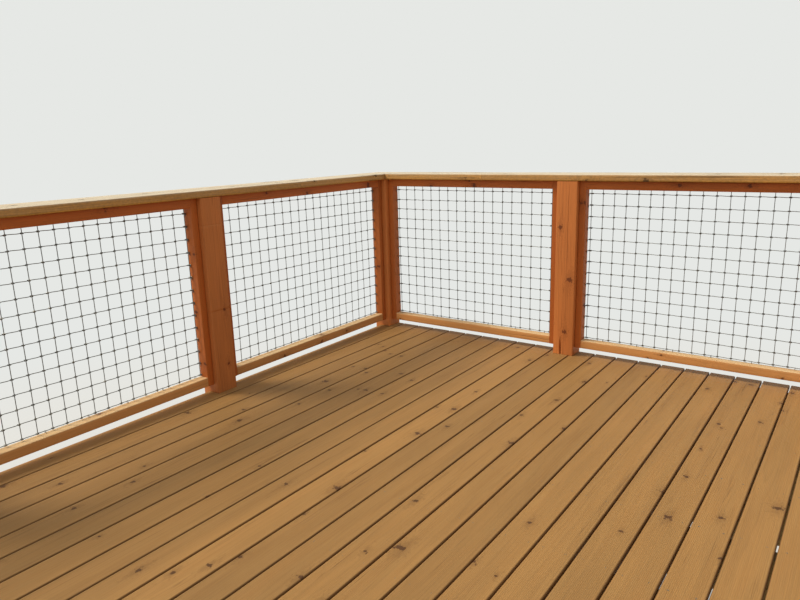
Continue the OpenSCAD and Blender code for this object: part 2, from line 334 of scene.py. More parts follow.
def timber(
    length, width, height, ease=0.003, step=0.2, bow=0.0008, checks=(), scores=(), start=None, end=None,
    level=None, foot=None, extra=(), pith=(0.05, 0.09), tone=(0.0, 1.0),
):
    """Point (s, a, b): s runs along the length, a and b across, and the section's points are carried along s.
    s = start(a, b) + u (end(a, b) - start(a, b)), with u from 0 to 1, slants the ends. The section drifts by
    bow sin(pi u). At a score (s, depth) it shrinks by that depth: the mark of a saw. foot is the length of a
    tail and a function that moves the section's points to the tail's section. extra and level ask for more
    points in the section. pith is how far the log's heart may lie away."""
    places = [[-0.5, 0.0, 0.5] for k in range(4)]
    for k, place in extra:
        places[k].append(place)
    for k, place, *rest in checks:
        places[k] = [p for p in places[k] if abs(p - place) > CLEAR_OF_CHECK] + [place] * 3
    if level is not None:
        places[1].append(level / (height / 2 - ease))
        places[3].append(-level / (height / 2 - ease))
    section, side, spot = outline(width, height, ease, places)
    tail = foot[0] if foot else 0.0
    s = np.linspace(tail, length, max(3, math.ceil((length - tail) / step) + 1))
    s = np.sort(np.concatenate([s] + [[at - SAW_HALF, at, at + SAW_HALF] for at, depth in scores]))
    if foot:
        s = np.concatenate([np.linspace(0, tail, 3), s])
    a, b = (np.repeat(section[None, :, k], len(s), 0) for k in (0, 1))
    split_open(a, b, s, side, spot, checks)
    for at, depth in scores:
        a[s == at] *= 1 - 2 * depth / width
        b[s == at] *= 1 - 2 * depth / height
    if foot:
        a[:3], b[:3] = foot[1](a[:3], b[:3])

    turn, around, away = rng.uniform(0, 2 * np.pi, 2).tolist() + [rng.uniform(*pith)]
    grain_a, grain_b = a + away * math.cos(around), b + away * math.sin(around)
    u = (s / length)[:, None]
    shrink = 1 - 2 * bow / min(width, height)
    a = a * shrink + bow * np.sin(np.pi * u) * math.cos(turn)
    b = b * shrink + bow * np.sin(np.pi * u) * math.sin(turn)
    first = start(a, b) if start else 0 * a
    last = end(a, b) if end else 0 * a + length
    along = first + u * (last - first)
    return {
        "points": np.stack([along, a, b], -1).reshape(-1, 3),
        "faces": [skin(len(s), len(section))] + end_faces(section, len(s), level),
        "grain": np.stack([along + rng.uniform(0, 40), grain_a, grain_b], -1).reshape(-1, 3),
        "tone": rng.uniform(*tone),
    }


# %% [markdown]
# A timber lies along one of the axes of the model. Its own three directions are set out so that they turn
# the same way as the model's, because a mirrored set would turn the faces inside out.

# %% Lay a timber into its box
AXES = {
    "x": np.array([[1, 0, 0], [0, 1, 0], [0, 0, 1]], float),
    "y": np.array([[0, 1, 0], [-1, 0, 0], [0, 0, 1]], float),
    "z": np.array([[0, 0, 1], [1, 0, 0], [0, 1, 0]], float),
}


def laid(box, axis, **shape):
    """A timber that fills the box, with its length along the axis: the middle of its end, plus s, a and b
    times their directions."""
    lo, hi = box
    length, width, height = np.abs(AXES[axis] @ (hi - lo))
    part = timber(length, width, height, **shape)
    origin = (lo + hi) / 2 - AXES[axis][0] * length / 2
    part["points"] = origin + part["points"] @ AXES[axis]
    return part


# %% [markdown]
# Parts made of the same material and belonging to the same node become one mesh. The faces of a part count
# its own points from 0, so each part's faces are moved up by the number of points before it.

# %% Turn parts into one object
WELD = 5e-6
SMOOTH_UP_TO = math.radians(50)


def assemble(name, parts, material, replaced, weld=False):
    """Joins the parts' points and faces into one mesh, with the grain and the tone of every point as
    attributes. Welding merges points that lie at one place."""
    counts = [len(part["points"]) for part in parts]
    shift = np.cumsum([0] + counts[:-1])
    faces = [row for part, k in zip(parts, shift) for block in part["faces"] for row in (block + k).tolist()]
    mesh = bpy.data.meshes.new(name)
    mesh.from_pydata(np.concatenate([part["points"] for part in parts]).tolist(), [], faces)
    if "grain" in parts[0]:
        grain = mesh.attributes.new("grain", "FLOAT_VECTOR", "POINT")
        grain.data.foreach_set("vector", np.concatenate([part["grain"] for part in parts]).ravel())
        tone = mesh.attributes.new("tone", "FLOAT", "POINT")
        tone.data.foreach_set("value", np.repeat([part["tone"] for part in parts], counts))
    if weld:
        loose = bmesh.new()
        loose.from_mesh(mesh)
        bmesh.ops.remove_doubles(loose, verts=loose.verts, dist=WELD)
        loose.to_mesh(mesh)
        loose.free()
    mesh.polygons.foreach_set("use_smooth", np.ones(len(mesh.polygons), dtype=bool))
    mesh.set_sharp_from_angle(angle=SMOOTH_UP_TO)
    mesh.materials.append(material)
    obj = placed(name, mesh)
    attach(obj, "root")
    if replaced:
        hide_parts(*replaced)
    print(f"{name}: {len(parts)} parts, {len(mesh.vertices)} points, {len(mesh.polygons)} faces")


# %% [markdown]
# ## Timber material
#
# Sawn timber shows its growth rings cut open. Stripes painted on each face would not meet at the edges, so
# the pattern is worked out inside the log: every point knows its distance from the pith, rings are steps of
# that distance, and knots are branches that grow out from the pith. Each timber has its own place in the
# log, so no two look alike, and end grain comes out by itself.

# %% Knots
KNOT_ALONG, KNOT_ROUND = 0.34, 0.8
NO_BRANCH = 0.0003


def knots(tree, along, turn, radius, wobble, share, size):
    """One cell of KNOT_ALONG metres by KNOT_ROUND radians round the log holds one branch, and share of the
    cells show theirs. near is how far a point is from its branch, in units of the branch's radius, which is
    0.4 to 1.4 times size. dark is 0.9 in the knot, and 0.35 fading out round it, three times as far along the
    grain. push is how far the rings are moved outwards there, which falls with the square of near."""
    cell = add(tree, "CombineXYZ", (
        add(tree, "Math", (along, KNOT_ALONG), operation="DIVIDE"),
        add(tree, "Math", (turn, KNOT_ROUND), operation="DIVIDE"),
    ))
    branch = add(tree, "TexVoronoi", {"Vector": cell, "Scale": 1.0}, voronoi_dimensions="2D").node.outputs
    chance = add(tree, "SeparateColor", (branch["Color"],)).node.outputs
    arc = add(tree, "Math", (radius, KNOT_ROUND), operation="MULTIPLY")
    off = add(tree, "VectorMath", (cell, branch["Position"]), operation="SUBTRACT")
    off = add(tree, "VectorMath", (off, add(tree, "CombineXYZ", (KNOT_ALONG, arc))), operation="MULTIPLY")
    shown = add(tree, "Math", (chance[0], 1 - share), operation="GREATER_THAN")
    branch_r = add(tree, "Math", (chance[1], size, 0.4 * size), operation="MULTIPLY_ADD")
    branch_r = add(tree, "Math", (branch_r, shown, NO_BRANCH), operation="MULTIPLY_ADD")
    uneven = add(tree, "Math", (wobble, 2.6, -0.3), operation="MULTIPLY_ADD")
    uneven = add(tree, "Math", (uneven, branch_r), operation="DIVIDE")
    drawn = add(tree, "VectorMath", (off, (0.33, 1.0, 1.0)), operation="MULTIPLY")
    lengths = [add(tree, "VectorMath", (way,), out="Value", operation="LENGTH") for way in (off, drawn)]
    near, wide = (add(tree, "Math", (length, uneven), operation="MULTIPLY") for length in lengths)
    core = add(tree, "Math", (near, -1.8, 2.3), operation="MULTIPLY_ADD", use_clamp=True)
    core = add(tree, "Math", (core, 0.9), operation="MULTIPLY")
    halo = add(tree, "Math", (wide, -0.16, 0.35), operation="MULTIPLY_ADD", use_clamp=True)
    dark = add(tree, "Math", (core, halo), operation="MAXIMUM")
    dark = add(tree, "Math", (dark, shown), operation="MULTIPLY")
    fall = add(tree, "Math", (near, near, 0.8), operation="MULTIPLY_ADD")
    push = add(tree, "Math", (branch_r, 1.6), operation="MULTIPLY")
    return dark, add(tree, "Math", (push, fall), operation="DIVIDE")


# %% Growth rings
def rings(tree, radius, wave, push, ring, contrast):
    """The distance from the pith, moved by a slow wave and by the knots, is counted in rings. The part p of a
    ring gives p**2.6: light early wood, then a narrow dark band of late wood, then a sharp step back."""
    moved = add(tree, "Math", (radius, push), operation="ADD")
    moved = add(tree, "Math", (wave, 0.03, moved), operation="MULTIPLY_ADD")
    part = add(tree, "Math", (moved, ring), operation="DIVIDE")
    part = add(tree, "Math", (part,), operation="FRACT")
    band = add(tree, "Math", (part, 2.6), operation="POWER")
    step = add(tree, "Math", (1.0, part), operation="SUBTRACT")
    step = add(tree, "Math", (step, 9.0), operation="MULTIPLY", use_clamp=True)
    band = add(tree, "Math", (band, step), operation="MULTIPLY")
    return add(tree, "Math", (band, contrast), operation="MULTIPLY")


# %% Noise drawn out along the grain
def drawn_out(tree, grain, along, across, detail, rough=0.5):
    """Noise whose waves are 1/along metres long and 1/across metres wide."""
    place = add(tree, "VectorMath", (grain, (along, across, across)), operation="MULTIPLY")
    return add(tree, "TexNoise", {"Vector": place, "Scale": 1.0, "Detail": detail, "Roughness": rough})


# %% Hairline checks
def hairlines(tree, grain, amount):
    """Long thin lines where a noise passes its middle value, about 0.6 m long and 9 mm apart, shown in
    patches only."""
    lines = add(tree, "Math", (drawn_out(tree, grain, 1.6, 110.0, 1.0), 0.5), operation="SUBTRACT")
    lines = add(tree, "Math", (lines,), operation="ABSOLUTE")
    lines = add(tree, "Math", (lines, -28.0, 1.0), operation="MULTIPLY_ADD", use_clamp=True)
    patch = drawn_out(tree, grain, 1.2, 22.0, 1.0)
    patch = add(tree, "Math", (patch, 9.0, -4.9), operation="MULTIPLY_ADD", use_clamp=True)
    lines = add(tree, "Math", (lines, patch), operation="MULTIPLY")
    return add(tree, "Math", (lines, amount), operation="MULTIPLY")


# %% The whole timber
def timber_material(
    name, early, late, knot, worn_and_lit_top, ring=0.005, contrast=0.4, share=0.3, knot_size=0.01, fibre=0.5, spread=0.2,
    flecks=0.0, weather=0.3, joint_shade_and_grime=0.0, split=0.5, rough=0.5, relief=0.0004,
):
    """Mixes early and late wood by the rings, varies it by fibres, flecks and from timber to timber, then
    lays over it wear on what faces the sky, which on the sunlit fir and the cap is also a painted highlight,
    painted shade and dirt on the edges towards the board joints, knots and hairline checks. ring, knot_size
    and relief are in metres, and share is how many branches show as knots."""
    material, tree, shader = new_material(name, **{"Specular IOR Level": 0.3})
    grain = add(tree, "Attribute", out="Vector", attribute_name="grain")
    own = add(tree, "Attribute", out="Fac", attribute_name="tone")
    along, a, b = add(tree, "SeparateXYZ", (grain,)).node.outputs
    flat = add(tree, "VectorMath", (grain, (0.0, 1.0, 1.0)), operation="MULTIPLY")
    radius = add(tree, "VectorMath", (flat,), out="Value", operation="LENGTH")
    turn = add(tree, "Math", (b, a), operation="ARCTAN2")

    # Waves of the log, 0.15 m wide; fibres, 4 mm from one to the next, as real ones are too fine to show;
    # clouds of colour, 0.11 m wide; flecks, 11 mm wide
    wave = drawn_out(tree, grain, 0.9, 7.0, 3.0)
    streak = drawn_out(tree, grain, 5.0, 260.0, 4.0, 0.65)
    cloud = drawn_out(tree, grain, 1.1, 9.0, 2.0)
    wobble = drawn_out(tree, grain, 70.0, 90.0, 2.0)

    dark, push = knots(tree, along, turn, radius, wobble, share, knot_size)
    band = rings(tree, radius, wave, push, ring, contrast)
    wood = add(tree, "Mix", {0: band, 6: linear(early), 7: linear(late)}, out=2, data_type="RGBA")
    shade = 1 - (fibre + spread + 0.5 + flecks) / 2
    for noise, amount in ((streak, fibre), (own, spread), (cloud, 0.5), (wobble, flecks)):
        shade = add(tree, "Math", (noise, amount, shade), operation="MULTIPLY_ADD")
    wood = add(tree, "VectorMath", {0: wood, 3: shade}, operation="SCALE")

    # Wear, which on the sunlit fir and the cap is also a painted highlight: what faces the sky pales in
    # patches
    facing = add(tree, "NewGeometry", out="Normal")
    sideways, _, upward = add(tree, "SeparateXYZ", (facing,)).node.outputs
    open_sky = add(tree, "Math", (upward, 0.88, 0.12), operation="MULTIPLY_ADD", use_clamp=True)
    faded_and_top_lit = add(tree, "Math", (open_sky, drawn_out(tree, grain, 2.3, 30.0, 5.0, 0.7)), operation="MULTIPLY")
    faded_and_top_lit = add(tree, "Math", (faded_and_top_lit, weather), operation="MULTIPLY", use_clamp=True)
    wood = add(tree, "Mix", {0: faded_and_top_lit, 6: wood, 7: linear(worn_and_lit_top)}, out=2, data_type="RGBA")

    # Painted shade and dirt in the joints: what faces the joint to the next board, to the left or right, is
    # darkened, for the shade that falls between the boards and for wet dirt
    joint_shade_and_damp = add(tree, "Math", (sideways,), operation="ABSOLUTE")
    joint_shade_and_damp = add(tree, "Math", (joint_shade_and_damp, 3.0, -1.0), operation="MULTIPLY_ADD", use_clamp=True)
    joint_shade_and_damp = add(tree, "Math", (joint_shade_and_damp, joint_shade_and_grime), operation="MULTIPLY")
    dark = add(tree, "Math", (dark, joint_shade_and_damp), operation="MAXIMUM")
    lines = hairlines(tree, grain, split)
    dark = add(tree, "Math", (dark, lines), operation="MAXIMUM")
    wood = add(tree, "Mix", {0: dark, 6: wood, 7: linear(knot)}, out=2, data_type="RGBA")
    tree.links.new(wood, shader["Base Color"])
    gloss = add(tree, "Math", (streak, 0.25, rough), operation="MULTIPLY_ADD")
    tree.links.new(gloss, shader["Roughness"])

    # Relief: fibres stand up by a fraction of a millimetre, late wood with them, and checks lie deeper
    height = add(tree, "Math", (band, 0.6, streak), operation="MULTIPLY_ADD")
    height = add(tree, "Math", (wobble, 3 * flecks, height), operation="MULTIPLY_ADD")
    height = add(tree, "Math", (lines, -1.5, height), operation="MULTIPLY_ADD")
    bump = add(tree, "Bump", {"Height": height, "Distance": relief, "Strength": 0.8})
    tree.links.new(bump, shader["Normal"])
    print(f"{name}: {len(tree.nodes)} nodes")
    return material


# %% The timbers' finishes
# Planed fir with its first coat of oil: warm orange brown, fine lines, faint knots
planed_fir = timber_material(
    "planed_fir", "#c4763a", "#945023", "#683216", "#caa46c", ring=0.0045, knot_size=0.012, weather=0.25
)
# The same fir in thinner pieces, oiled more often: a little deeper and redder
oiled_fir = timber_material(
    "oiled_fir", "#ba6527", "#8a4217", "#5b2a0f", "#b28a58", ring=0.0035, knot_size=0.011, weather=0.25,
    rough=0.45,
)
# The same fir for the bottom pieces, painted lighter and more golden as painted sunlight, and palest on top as
# a painted highlight
painted_sunlit_fir = timber_material(
    "painted_sunlit_fir", "#cc8d4c", "#a26731", "#6b3c1a", "#dfc494", ring=0.0035, knot_size=0.011, weather=1.4
)
# Pressure-treated pine, rough sawn: olive gold at the edges, bleached to silver on top, and painted paler
# there still as a painted highlight
treated_pine_cap = timber_material(
    "treated_pine_cap", "#b88336", "#875f25", "#4f3518", "#dccfb4", contrast=0.6, knot_size=0.014, fibre=0.9,
    flecks=0.8, weather=1.9, split=0.7, rough=0.6, relief=0.001,
)
# Pressure-treated decking: even tan brown, trodden matt, its edges towards the joints darkened by painted
# shade and wet dirt
treated_pine_deck = timber_material(
    "treated_pine_deck", "#a0743f", "#7e582b", "#4a2a10", "#b9985f", ring=0.0055, fibre=0.45, spread=0.28,
    weather=0.4, joint_shade_and_grime=0.5, split=0.4,
)
# Sawn structural timber: greenish tan, rough
sawn_timber = timber_material(
    "sawn_timber", "#ab9060", "#86683c", "#50391b", "#9a907a", ring=0.006, knot_size=0.014, fibre=0.8,
    rough=0.7, relief=0.001,
)


# %% [markdown]
# ## Guard posts
#
# Each post stands on the boards with a shoulder, and a thinner tail runs down outside the rim. The corner
# posts have an L-shaped tail. Two boxes set together would show a seam across the grain. So the section of
# the shaft slides to the section of the tail at the shoulder: points that would lie inside the rim move
# straight out, or along the diagonal in the corner, until they meet it. Shaft and tail stay one skin, as they
# are one timber.

# %% Shaft and tail
POST_EASE = 0.004


def slide_to_tail(half, sides):
    """p and q are how far a point lies inside the rim, seen from the side and from the front. The point moves
    out by the lesser of the two where that is positive. Where one side alone has a rim, the other counts as
    endless."""
    turn = -1 if "left" in sides else 1
    lapped = bool(sides & {"left", "right"})

    def slid(a, b):
        p = half - TAIL_T - turn * a if lapped else np.full_like(a, np.inf)
        q = half - TAIL_T - b if "front" in sides else np.full_like(b, np.inf)
        m = np.clip(np.minimum(p, q), 0, None)
        return a + turn * lapped * m, b + ("front" in sides) * m

    return slid


def guard_post(node, sides, **shape):
    """A post with its tail on the sides named, from the box of its node. Where the tail is L-shaped, the
    section needs points at the inner ends of the L."""
    lo, hi = solids(node)[0]
    half = (hi[0] - lo[0]) / 2
    edge = (half - TAIL_T) / (half - POST_EASE)
    extra = []
    if len(sides) > 1:
        extra = [(0, -edge), (1, edge)] if "left" in sides else [(0, edge), (3, -edge)]
    return laid(
        (lo, hi), "z", ease=POST_EASE, step=0.022, bow=0.0006, extra=extra, pith=(0.01, 0.03),
        foot=(DECK_TOP - lo[2], slide_to_tail(half, sides)), **shape,
    )


# %% [markdown]
# Two posts show marks of their own. The one right of the corner has split open at its foot, and the next one
# left of the corner carries two shallow saw lines. The rest get thin checks at random. The split one is
# also given the highest tones, so it is painted palest, as painted sunlight on it.

# %% Ten posts
SHAFT = 1.17
FOOT_SPLIT = (0.118, 0.013, 0.035)  # how high it reaches, its width and its depth
SAW_LINES = ((0.505, 0.0012), (1.02, 0.0006))  # height above the boards and depth
POSTS = {
    "left_corner_post": {"left", "front"},
    "right_corner_post": {"right", "front"},
    "left_front_post": {"front"},
    "right_front_post": {"front"},
    "left_post_near": {"left"},
    "left_post_mid": {"left"},
    "left_post_rear": {"left"},
    "right_post_near": {"right"},
    "right_post_mid": {"right"},
    "right_post_rear": {"right"},
}
foot_z = DECK_TOP - solids("left_front_post")[0][0][2]
top_z = foot_z + SHAFT
marks = {name: {"checks": random_checks([0, 1, 2, 3], foot_z + 0.05, top_z, 4)} for name in POSTS}
marks["left_front_post"] = {
    "checks": [
        (0, -0.30, foot_z - 0.05, foot_z + FOOT_SPLIT[0], *FOOT_SPLIT[1:]),
        (0, 0.22, foot_z + 0.60, top_z, 0.0016, 0.010),
        (1, 0.10, foot_z + 0.20, foot_z + 0.80, 0.0014, 0.010),
    ],
    # Painted sunlight: the highest tones make this post the palest
    "tone": (0.9, 1.0),
}
marks["left_post_near"]["scores"] = [(foot_z + height, depth) for height, depth in SAW_LINES]
for name, sides in POSTS.items():
    assemble("planed_" + name, [guard_post(name, sides, **marks[name])], planed_fir, [name])


# %% [markdown]
# ## Panel frames
#
# Each bay holds a frame of four timbers: the uprights run full height, and the top and bottom pieces butt
# against them. They are planed, so their edges are crisp and their faces nearly true. A cube with a bevel
# would give the same shape, but the timber function also gives every point its place in the log.

# %% Uprights, top pieces and bottom pieces
# How each side runs, 0 along x and 1 along y, and the sign of the way out of it, along the other axis
SIDES = {"front": (0, 1), "left": (1, -1), "right": (1, 1)}
# The bottom pieces take the fir that is painted lighter, as painted sunlight
for side, (run, _) in SIDES.items():
    for kind, material in (("stiles", oiled_fir), ("top_rails", oiled_fir), ("bottom_rails", painted_sunlit_fir)):
        node = f"{side}_{kind}"
        axis = "z" if kind == "stiles" else "xy"[run]
        parts = [laid(box, axis, ease=0.003, step=0.12, bow=0.0004) for box in solids(node)]
        assemble("planed_" + node, parts, material, [node])


# %% [markdown]
# ## Cap boards
#
# The cap is a wide flat board on top of posts and frames. Two boards make each run, and at the corners they
# meet in a mitre: the end is cut at 45 degrees, so s at the end is the length less the distance from the
# outer edge. With the slant in the grid itself, nothing has to be cut off and closed again. The boards come
# from different logs, so one is darker than its neighbour.

# %% Mitred boards
# How each run lies, on which side of a its outer edge is, and whether each board has a mitre at its start,
# whether it has one at its end, and between which tones it lies
CAP_RUNS = {
    "front": ("x", 1, [(True, False, (0.7, 0.8)), (False, True, (0.1, 0.2))]),
    "left": ("y", 1, [(False, False, (0.0, 0.3)), (False, True, (0.4, 0.6))]),
    "right": ("y", -1, [(False, False, (0.0, 0.3)), (False, True, (0.4, 0.6))]),
}


def mitred(box, axis, outer, at_start, at_end, tone):
    """A cap board."""
    length, width = np.abs(AXES[axis] @ (box[1] - box[0]))[:2]
    return laid(
        box, axis, ease=0.004, step=0.1, bow=0.001, tone=tone,
        start=(lambda a, b: width / 2 - outer * a) if at_start else None,
        end=(lambda a, b: length - (width / 2 - outer * a)) if at_end else None,
        checks=random_checks([2, 2, 0], 0.1, length - 0.1, 4),
    )


# The cap boards' pale tops are partly bleaching and partly a painted highlight
for side, (axis, outer, boards) in CAP_RUNS.items():
    node = f"{side}_cap"
    parts = [mitred(box, axis, outer, *board) for box, board in zip(solids(node), boards)]
    assemble("weathered_and_sunlit_" + node, parts, treated_pine_cap, [node])


# %% [markdown]
# ## Deck boards
#
# Decking like this has rounded long edges and fine ribs along the board, 6 mm apart, which give a grip when
# it is wet. The rounded edges make the dark lines that the eye reads as a deck. From two steps away the ribs
# are no more than a fine hatching, but they are real relief, so they are cut into the mesh. A board is two
# sheets on one grid, the top and the underside, joined round the border. Where a post's tail passes through,
# the grid's points are held back at the notch: across for a notch in the side, along for one in the end.

# %% Places across and along a board
BOARD_EDGE = 0.0065  # radius of the long edges
BOARD_END = 0.0015  # radius of the short ones
RIB = 0.0061
RIB_DEPTH = 0.0009
PLAIN_EDGES = 0.018  # what both edges without ribs take up at least
NUDGE = 1e-6  # less than half of WELD, which closes the pairs again wherever no notch parts them
# Lowest and highest level, cup, wave and crook of a board
BOARD_SAG = [[-0.0012, -0.0005, 0.0, -0.0009], [-0.0004, 0.0005, 0.0004, 0.0009]]


def rounded(distance, radius):
    """How far a rounded edge has dropped at that distance from it: the radius less the height of a circle."""
    inside = np.clip(radius - distance, 0, radius)
    return radius - np.sqrt(radius**2 - inside**2)


def steps(low, high, radius, between, notches):
    """Grid places from low to high: four to round each end, the places between, and a pair a hair apart at
    every notch edge, so that the wall of the notch stands upright."""
    near = radius * (1 - np.cos(np.radians([0.0, 30.0, 60.0, 90.0])))
    edges = [n + e for n in notches for e in (-NUDGE, NUDGE) if low < n < high]
    return np.sort(np.concatenate([low + near, between, high - near, edges]))


# %% Board with ribs and notches
def board_faces(n, m):
    """Top sheet, underside and the wall between them, on a grid of n rows of m points. The wall follows the
    grid's border once round, counter-clockwise from above."""
    sheet, under = skin(n, m, closed=False), n * m
    grid = np.arange(under).reshape(n, m)
    border = np.concatenate([grid[0, :-1], grid[:-1, -1], grid[-1, :0:-1], grid[:0:-1, 0]])
    after = np.roll(border, -1)
    wall = np.stack([after, border, border + under, after + under], -1)
    return np.concatenate([sheet, sheet[:, ::-1] + under, wall])


def deck_board(box, notches):
    """Grid point (i, j) lies at (x_i, y_j). Its height is the top, less the rounding of both edges, less the
    ribs depth (1 - cos(2 pi d / rib)) / 2, plus a sag: a level of its own, a cup (2u - 1)**2 and a slow wave.
    The board crooks sideways by a sine. Inside a side notch x is held at the notch, inside an end notch y."""
    lo, hi = box
    near = [n for n in notches if n[1] > lo[0] and n[0] < hi[0]]
    count = int((hi[0] - lo[0] - PLAIN_EDGES) / RIB)
    border = (hi[0] - lo[0] - count * RIB) / 2
    ribs = np.linspace(lo[0] + border, hi[0] - border, 4 * count + 1)
    cuts = [v for n in near if n[4] == "end" for v in n[:2]]
    xs = steps(lo[0], hi[0], BOARD_EDGE, ribs, cuts)
    cuts = [v for n in near if n[4] == "side" for v in n[2:4]] + [n[2] for n in near]
    ys = steps(lo[1], hi[1], BOARD_END, np.linspace(lo[1], hi[1], 16)[1:-1], cuts)
    x, y = np.meshgrid(xs, ys)
    across = (x - lo[0]) / (hi[0] - lo[0])
    for x0, x1, y0, y1, kind in near:
        if kind == "side":
            held = np.maximum(x, x1) if x0 < lo[0] else np.minimum(x, x0)
            x = np.where((y > y0) & (y < y1), held, x)
        else:
            y = np.where((x > x0) & (x < x1), np.minimum(y, y0), y)
    level, cup, wave, crook = rng.uniform(*BOARD_SAG)
    slow = (y - lo[1]) / (hi[1] - lo[1])
    sag = level + cup * (2 * across - 1) ** 2 + wave * np.sin(7 * slow + 40 * wave)
    drop_x = rounded(np.minimum(xs - lo[0], hi[0] - xs), BOARD_EDGE)
    drop_y = rounded(np.minimum(ys - lo[1], hi[1] - ys), BOARD_END)
    inside = (xs > lo[0] + border) & (xs < hi[0] - border)
    rib = inside * RIB_DEPTH * (1 - np.cos(2 * np.pi * (xs - lo[0] - border) / RIB)) / 2
    top = hi[2] - (drop_x + rib)[None, :] - drop_y[:, None] + sag
    under = lo[2] + drop_x[None, :] + drop_y[:, None] + sag - BOARD_SAG[0][0]
    x = x + crook * np.sin(np.pi * slow)
    points = np.stack([np.r_[x, x], np.r_[y, y], np.r_[top, under]], -1).reshape(-1, 3)
    heart = [rng.uniform(0, 40), rng.uniform(-0.05, 0.05), rng.choice([-1, 1]) * rng.uniform(0.04, 0.12)]
    grain = (points - (lo + hi) / 2)[:, [1, 0, 2]] + heart
    return {"points": points, "faces": [board_faces(*x.shape)], "grain": grain, "tone": rng.uniform(0, 1)}


# %% Notches for the tails, then the boards
NOTCH_GAP = 0.003
NOTCH = TAIL_T + 2 * NOTCH_GAP
notches = []
for name, sides in POSTS.items():
    lo, hi = solids(name)[0]
    (x0, y0, _), (x1, y1, _) = lo - NOTCH_GAP, hi + NOTCH_GAP
    if "front" in sides:
        notches.append((x0, x1, y1 - NOTCH, y1, "end"))
    if "left" in sides:
        notches.append((x0, x0 + NOTCH, y0, y1, "side"))
    if "right" in sides:
        notches.append((x1 - NOTCH, x1, y0, y1, "side"))
deck_boxes = []
for group in ("left", "middle", "right"):
    node = f"{group}_deck_boards"
    deck_boxes += solids(node)
    boards = [deck_board(box, notches) for box in solids(node)]
    assemble("ribbed_" + node, boards, treated_pine_deck, [node], weld=True)


# %% [markdown]
# ## Timbers under the deck
#
# Rims, joists, bearers, stilts and braces are structural timber, sawn but not planed. They are seen from
# further away, so one short function makes most of them straight from their boxes, with long checks and a
# little more bow than the planed pieces have.

# %% Rims, joists and stilts
def sawn(node, axis, sides, margin, count, **shape):
    """The timbers of a node, with so many checks on the sides named, which keep the margin to the ends."""
    parts = []
    for box in solids(node):
        checks = random_checks(sides, margin, np.max(box[1] - box[0]) - margin, count)
        parts.append(laid(box, axis, checks=checks, **shape))
    assemble("sawn_" + node, parts, sawn_timber, [node])


BEAM = {"ease": 0.002, "step": 0.16, "bow": 0.001}
for node, axis in (("front_rim", "x"), ("rear_rim", "x"), ("side_rims", "y"), ("joists", "x")):
    sawn(node, axis, [1, 3], 0.1, 2, **BEAM)
STILTS = ("front_stilts", "middle_stilts", "rear_stilts")
for node in STILTS:
    sawn(node, "z", [0, 1, 2, 3], 0.03, 6, ease=0.004, step=0.05, bow=0.0008, pith=(0.01, 0.03))


# %% [markdown]
# The bearers end in a slanting cut that starts below a short upright nose. How long the cut is and how high
# the nose, the model's own corners tell.

# %% Bearers with slanted ends
points = corners("bearers")[0]
lowest, highest = points.min(0), points.max(0)
at_end = points[points[:, 1] < lowest[1] + 1e-4]
at_foot = points[points[:, 2] < lowest[2] + 1e-4]
BEARER_NOSE = highest[2] - at_end[:, 2].min()
BEARER_CUT = at_foot[:, 1].min() - lowest[1]
knee = (highest[2] - lowest[2]) / 2 - BEARER_NOSE
print("nose", round(BEARER_NOSE, 3), "cut", round(BEARER_CUT, 3))


def bearer(box):
    """Both ends stand back by nothing above the knee, and below it by a share of the cut that grows to 1."""
    length, height = (box[1] - box[0])[1:]

    def back(a, b):
        return BEARER_CUT * np.clip((knee - b) / (knee + height / 2), 0, 1)

    return laid(
        box, "y", level=knee, start=back, end=lambda a, b: length - back(a, b),
        checks=random_checks([1, 3], 0.3, length - 0.3, 3), **BEAM,
    )


assemble("sawn_bearers", [bearer(box) for box in solids("bearers")], sawn_timber, ["bearers"])


# %% [markdown]
# Braces stand at 45 degrees between a stilt and a beam, so both their ends are slanted cuts. Seen from the
# side, the box of a brace is a square, and the timber crosses it along its diagonal. A large screw with a
# hexagon head holds each end, and its place comes from the same diagonal.

# %% Braces
BRACE_DEPTH = 0.100
SCREW_FROM_END = 0.09


def brace(box, run, facing):
    """run is the horizontal axis that the brace spans, 0 or 1, and facing is +1 where it rises along it. s
    counts from the brace's middle, so the ends, cut at 45 degrees, are s = b + level and s = -b - level.
    Returns the timber, the places of its screws and the way that their heads face."""
    lo, hi = box
    reach = hi[2] - lo[2]
    level_b = (BRACE_DEPTH - math.sqrt(2) * reach) / 2
    part = timber(
        math.sqrt(2) * reach, (hi - lo)[1 - run], BRACE_DEPTH, ease=0.002, step=0.1, bow=0.0006,
        start=lambda a, b: b + level_b, end=lambda a, b: -b - level_b,
    )
    forward, upward = np.zeros(3), np.array([0.0, 0.0, 1.0])
    forward[run] = facing
    s_way, b_way = (forward + upward) / math.sqrt(2), (upward - forward) / math.sqrt(2)
    axes = np.stack([s_way, np.cross(b_way, s_way), b_way])
    corner = (lo + hi) / 2
    corner[run] = lo[run] if facing > 0 else hi[run]
    corner[2] = hi[2]
    part["points"] = corner + (part["points"] + [0, 0, level_b]) @ axes
    low_face = -BRACE_DEPTH / 2 + level_b
    near_end = -low_face - SCREW_FROM_END
    screws = corner + np.array([[-near_end, 0, low_face], [near_end, 0, low_face]]) @ axes
    return part, screws, -b_way


stilt_places = np.array([(lo + hi)[:2] / 2 for node in STILTS for lo, hi in solids(node)])
brace_screws = []
for node, run in (("bearer_braces", 1), ("joist_braces", 0)):
    parts = []
    for box in solids(node):
        middle = (box[0] + box[1]) / 2
        nearest = stilt_places[np.argmin(np.linalg.norm(stilt_places - middle[:2], axis=1))]
        part, *screws = brace(box, run, 1 if middle[run] > nearest[run] else -1)
        parts.append(part)
        brace_screws.append(screws)
    assemble("sawn_" + node, parts, sawn_timber, [node])


